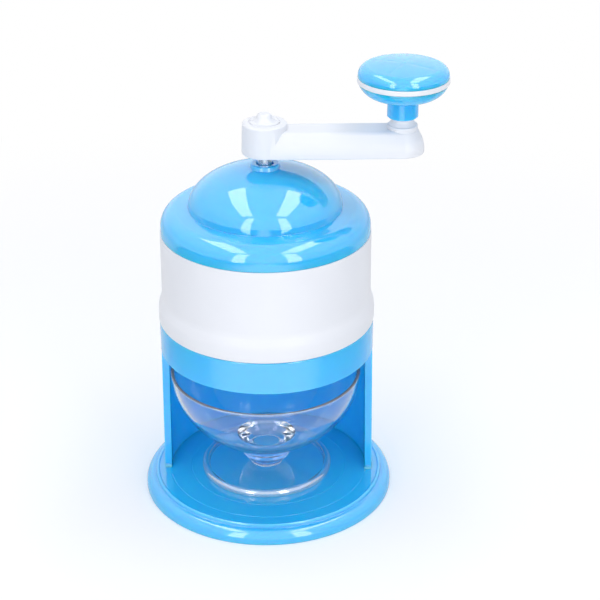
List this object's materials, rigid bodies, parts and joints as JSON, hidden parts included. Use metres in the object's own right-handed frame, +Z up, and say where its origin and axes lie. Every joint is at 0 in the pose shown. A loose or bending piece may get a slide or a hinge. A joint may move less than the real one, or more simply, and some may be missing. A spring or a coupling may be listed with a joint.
{
  "type": "ice shaver with crank",
  "caption": "Hand-cranked ice shaver with a C-shaped stand, a lift-off barrel and domed lid, a crank arm with a round knob, and a footed dessert cup in the bay.",
  "frame": {"origin": "on the barrel's axis, on the face that the shaver stands on", "axes": "+Z up along the crank's shaft, -Y towards the open front of the stand, +X to the right as seen from the front"},
  "size_m": [0.166, 0.14, 0.2485],
  "materials": {
    "blue_plastic": "glossy moulded ABS",
    "white_plastic": "smooth moulded polypropylene",
    "clear_plastic": "clear moulded polystyrene",
    "acetal": "natural acetal",
    "black_rubber": "matt",
    "polished_steel": "polished stainless steel",
    "blade_steel": "ground stainless steel",
    "washer_steel": "stamped stainless steel",
    "spring_steel": "drawn stainless wire",
    "steel_screws": "zinc plated"
  },
  "bodies": {
    "stand": {"base_plate": "blue_plastic", "anti_slip_pad": "black_rubber", "stand_housing": "blue_plastic", "housing_screws": "steel_screws"},
    "cup": {"cup_bowl": "clear_plastic", "cup_foot": "clear_plastic"},
    "hopper": {"hopper": "white_plastic", "blade_disc": "white_plastic", "disc_screws": "steel_screws", "blade": "blade_steel", "blade_screws": "steel_screws"},
    "bearing": {"shaft_bush": "acetal", "spring_seat": "washer_steel"},
    "lid": {"lid": "blue_plastic", "bayonet_ring": "blue_plastic", "bearing_sleeve": "blue_plastic"},
    "carriage": {"thrust_washer": "washer_steel", "pressure_spring": "spring_steel"},
    "crank": {"drive_shaft": "polished_steel", "stop_ring": "spring_steel", "presser_plate": "white_plastic", "presser_pins": "polished_steel", "presser_screw": "steel_screws", "crank_arm": "white_plastic", "arm_screw": "steel_screws", "screw_plug": "white_plastic", "knob_post": "white_plastic", "post_washer": "washer_steel", "post_screw": "steel_screws"},
    "knob": {"knob_shell": "blue_plastic", "knob_ring": "white_plastic", "knob_cap": "blue_plastic"}
  },
  "joints": [
    {"name": "cup_slide", "type": "slide", "parent": "stand", "child": "cup", "axis": [0, -0.9997, 0.025], "range_m": [0, 0.13]},
    {"name": "hopper_lift", "type": "slide", "parent": "stand", "child": "hopper", "axis": [0, 0, 1], "range_m": [0, 0.05]},
    {"name": "lid_lift", "type": "slide", "parent": "hopper", "child": "bearing", "axis": [0, 0, 1], "range_m": [0, 0.08]},
    {"name": "lid_turn", "type": "hinge", "parent": "bearing", "child": "lid", "pos_m": [0, 0, 0.18], "axis": [0, 0, 1], "range_deg": [-18, 0]},
    {"name": "press_slide", "type": "slide", "parent": "bearing", "child": "carriage", "axis": [0, 0, 1], "range_m": [0, 0.045], "stiffness_N_per_m": 150, "springref_m": -0.02, "deforming": ["pressure_spring"]},
    {"name": "crank_turn", "type": "hinge", "parent": "carriage", "child": "crank", "pos_m": [0, 0, 0.2], "axis": [0, 0, 1], "continuous": true},
    {"name": "knob_spin", "type": "hinge", "parent": "crank", "child": "knob", "pos_m": [0.07194, 0.00301, 0.23], "axis": [0, 0, 1], "continuous": true}
  ]
}
